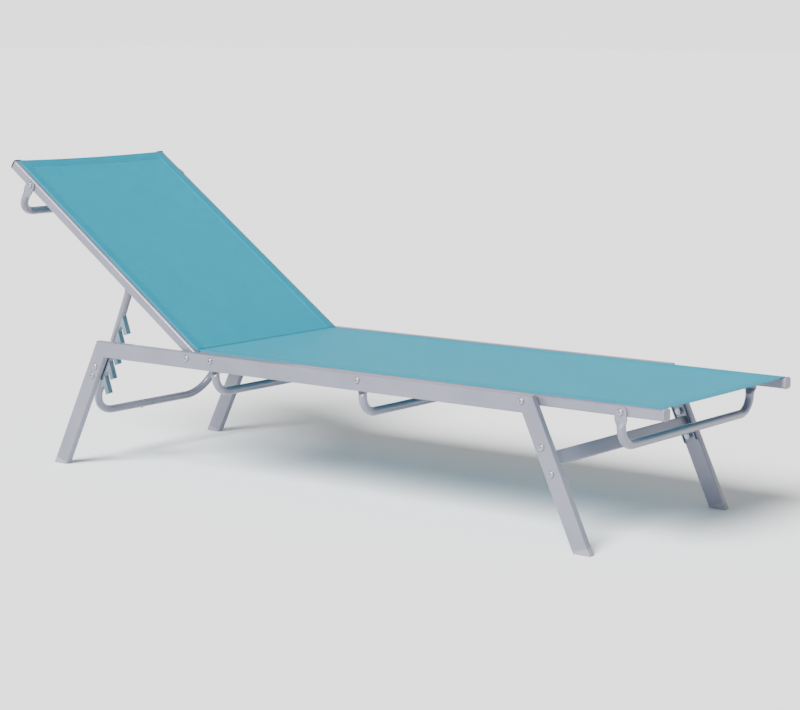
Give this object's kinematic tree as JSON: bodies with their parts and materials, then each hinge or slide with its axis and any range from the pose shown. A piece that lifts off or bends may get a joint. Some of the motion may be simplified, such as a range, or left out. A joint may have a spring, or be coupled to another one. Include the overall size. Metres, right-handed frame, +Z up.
{
  "type": "sun lounger",
  "caption": "Outdoor sun lounger: tubular metal frame with splayed legs, taut fabric sling seat, and a reclining sling backrest held by a toothed prop.",
  "frame": {"origin": "centre of the footprint on the ground, at the bottom centre of the whole lounger at rest", "axes": "+X towards the foot end, +Y towards the left side of a person lying on it, +Z up"},
  "size_m": [1.8712, 0.568, 0.7316],
  "materials": {
    "frame": "satin silver-grey powder coat",
    "sling": "matt coated mesh weave, turquoise",
    "keder": "hem wrapped round a plastic cord, turquoise",
    "end_cap": "moulded, fine matt",
    "foot": "moulded, fine matt",
    "rack": "satin",
    "bracket": "satin zinc plate",
    "fastener": "bright zinc plate"
  },
  "bodies": {
    "base": {"left_base_rail": "frame", "left_rear_leg": "frame", "left_front_leg": "frame", "left_rear_foot": "foot", "left_front_foot": "foot", "left_seat_rail": "frame", "left_seat_rail_cap": "end_cap", "left_seat_keder": "keder", "left_crossbar_plate": "bracket", "left_catch_bracket": "bracket", "right_base_rail": "frame", "right_rear_leg": "frame", "right_front_leg": "frame", "right_rear_foot": "foot", "right_front_foot": "foot", "right_seat_rail": "frame", "right_seat_rail_cap": "end_cap", "right_seat_keder": "keder", "right_crossbar_plate": "bracket", "right_catch_bracket": "bracket", "seat_rail_plugs": "end_cap", "seat_sling": "sling", "rear_spreader": "frame", "middle_spreader": "frame", "foot_spreader": "frame", "front_crossbar": "frame", "catch_pins": "bracket", "seat_rail_bolts": "fastener", "pivot_bolts": "fastener", "pivot_spacers": "end_cap", "front_spacers": "end_cap", "foot_spreader_bolts": "fastener", "crossbar_bolts": "fastener", "catch_bolts": "fastener"},
    "backrest": {"left_back_rail": "frame", "left_back_rail_cap": "end_cap", "left_back_keder": "keder", "right_back_rail": "frame", "right_back_rail_cap": "end_cap", "right_back_keder": "keder", "back_rail_plugs": "end_cap", "head_spreader": "frame", "head_spreader_bolts": "fastener", "back_sling": "sling", "prop_pivot_pins": "fastener"},
    "prop": {"left_prop_half": "frame", "right_prop_half": "frame", "prop_sleeve": "frame", "prop_screw": "fastener", "left_rack": "rack", "right_rack": "rack"}
  },
  "joints": [
    {"name": "backrest_recline", "type": "hinge", "parent": "base", "child": "backrest", "pos_m": [-0.3294, 0, 0.299], "axis": [0, 1, 0], "range_deg": [-19, 31]},
    {"name": "prop_swing", "type": "hinge", "parent": "backrest", "child": "prop", "pos_m": [-0.55577, 0, 0.4569], "axis": [0, 1, 0], "range_deg": [-18.6, 11.4]}
  ],
  "couplings": [
    {"joint": "prop_swing", "follows": "backrest_recline", "ratio": -0.6}
  ]
}
